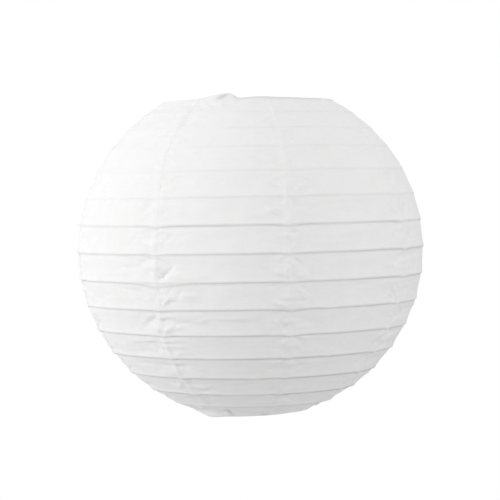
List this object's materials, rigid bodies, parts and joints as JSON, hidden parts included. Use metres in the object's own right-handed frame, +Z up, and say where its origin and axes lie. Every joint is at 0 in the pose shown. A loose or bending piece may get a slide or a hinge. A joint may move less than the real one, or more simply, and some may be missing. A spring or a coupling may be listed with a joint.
{
  "type": "accordion paper lantern",
  "caption": "Round white accordion paper lantern with wire ribs, open top and bottom, hung by a wire expander; folds flat.",
  "frame": {"origin": "the point inside the top of the expander's wire eye where a hook bears", "axes": "+Z up along the lantern's axis, the expander's wires lie in the XZ plane, -Y is the front"},
  "size_m": [0.3, 0.3, 0.2666],
  "materials": {
    "paper": "matt translucent",
    "rib_wire": "white lacquered wire",
    "ring_wire": "white lacquered wire",
    "expander_wire": "drawn galvanised wire"
  },
  "bodies": {
    "hung_top": {"hanger": "expander_wire", "top_ring": "ring_wire", "paper_gore_1": "paper", "paper_gore_2": "paper", "paper_gore_3": "paper", "paper_gore_4": "paper", "paper_gore_5": "paper", "paper_gore_6": "paper", "paper_gore_7": "paper", "paper_gore_8": "paper"},
    "bottom_ring": {"bottom_ring": "ring_wire"},
    "rib_01": {"rib_01": "rib_wire"},
    "rib_02": {"rib_02": "rib_wire"},
    "rib_03": {"rib_03": "rib_wire"},
    "rib_04": {"rib_04": "rib_wire"},
    "rib_05": {"rib_05": "rib_wire"},
    "rib_06": {"rib_06": "rib_wire"},
    "rib_07": {"rib_07": "rib_wire"},
    "rib_08": {"rib_08": "rib_wire"},
    "rib_09": {"rib_09": "rib_wire"},
    "rib_10": {"rib_10": "rib_wire"},
    "rib_11": {"rib_11": "rib_wire"},
    "rib_12": {"rib_12": "rib_wire"},
    "rib_13": {"rib_13": "rib_wire"},
    "rib_14": {"rib_14": "rib_wire"},
    "left_leg": {"left_leg": "expander_wire"},
    "right_leg": {"right_leg": "expander_wire"}
  },
  "joints": [
    {"name": "collapse", "type": "slide", "parent": "hung_top", "child": "bottom_ring", "axis": [0, 0, 1], "range_m": [0, 0.24772], "deforming": ["paper_gore_1", "paper_gore_2", "paper_gore_3", "paper_gore_4", "paper_gore_5", "paper_gore_6", "paper_gore_7", "paper_gore_8"]},
    {"name": "rib_01_slide", "type": "slide", "parent": "hung_top", "child": "rib_01", "axis": [0, 0, 1], "range_m": [0, 0.01019]},
    {"name": "rib_02_slide", "type": "slide", "parent": "hung_top", "child": "rib_02", "axis": [0, 0, 1], "range_m": [0, 0.02281]},
    {"name": "rib_03_slide", "type": "slide", "parent": "hung_top", "child": "rib_03", "axis": [0, 0, 1], "range_m": [0, 0.0373]},
    {"name": "rib_04_slide", "type": "slide", "parent": "hung_top", "child": "rib_04", "axis": [0, 0, 1], "range_m": [0, 0.05557]},
    {"name": "rib_05_slide", "type": "slide", "parent": "hung_top", "child": "rib_05", "axis": [0, 0, 1], "range_m": [0, 0.0754]},
    {"name": "rib_06_slide", "type": "slide", "parent": "hung_top", "child": "rib_06", "axis": [0, 0, 1], "range_m": [0, 0.09632]},
    {"name": "rib_07_slide", "type": "slide", "parent": "hung_top", "child": "rib_07", "axis": [0, 0, 1], "range_m": [0, 0.11779]},
    {"name": "rib_08_slide", "type": "slide", "parent": "hung_top", "child": "rib_08", "axis": [0, 0, 1], "range_m": [0, 0.13929]},
    {"name": "rib_09_slide", "type": "slide", "parent": "hung_top", "child": "rib_09", "axis": [0, 0, 1], "range_m": [0, 0.16028]},
    {"name": "rib_10_slide", "type": "slide", "parent": "hung_top", "child": "rib_10", "axis": [0, 0, 1], "range_m": [0, 0.18024]},
    {"name": "rib_11_slide", "type": "slide", "parent": "hung_top", "child": "rib_11", "axis": [0, 0, 1], "range_m": [0, 0.19868]},
    {"name": "rib_12_slide", "type": "slide", "parent": "hung_top", "child": "rib_12", "axis": [0, 0, 1], "range_m": [0, 0.21514]},
    {"name": "rib_13_slide", "type": "slide", "parent": "hung_top", "child": "rib_13", "axis": [0, 0, 1], "range_m": [0, 0.2292]},
    {"name": "rib_14_slide", "type": "slide", "parent": "hung_top", "child": "rib_14", "axis": [0, 0, 1], "range_m": [0, 0.24053]},
    {"name": "left_leg_flex", "type": "hinge", "parent": "hung_top", "child": "left_leg", "pos_m": [-0.038, 0, -0.01285], "axis": [0, -1, 0], "range_deg": [0, 5], "stiffness_Nm_per_rad": 2.8},
    {"name": "right_leg_flex", "type": "hinge", "parent": "hung_top", "child": "right_leg", "pos_m": [0.038, 0, -0.01285], "axis": [0, 1, 0], "range_deg": [0, 5], "stiffness_Nm_per_rad": 2.8}
  ],
  "couplings": [
    {"joint": "rib_01_slide", "follows": "collapse", "ratio": 0.040746},
    {"joint": "rib_02_slide", "follows": "collapse", "ratio": 0.09169},
    {"joint": "rib_03_slide", "follows": "collapse", "ratio": 0.15018},
    {"joint": "rib_04_slide", "follows": "collapse", "ratio": 0.22391},
    {"joint": "rib_05_slide", "follows": "collapse", "ratio": 0.30398},
    {"joint": "rib_06_slide", "follows": "collapse", "ratio": 0.38841},
    {"joint": "rib_07_slide", "follows": "collapse", "ratio": 0.47509},
    {"joint": "rib_08_slide", "follows": "collapse", "ratio": 0.56188},
    {"joint": "rib_09_slide", "follows": "collapse", "ratio": 0.64662},
    {"joint": "rib_10_slide", "follows": "collapse", "ratio": 0.72721},
    {"joint": "rib_11_slide", "follows": "collapse", "ratio": 0.80164},
    {"joint": "rib_12_slide", "follows": "collapse", "ratio": 0.86807},
    {"joint": "rib_13_slide", "follows": "collapse", "ratio": 0.92485},
    {"joint": "rib_14_slide", "follows": "collapse", "ratio": 0.97056},
    {"joint": "right_leg_flex", "follows": "left_leg_flex", "ratio": 1}
  ]
}
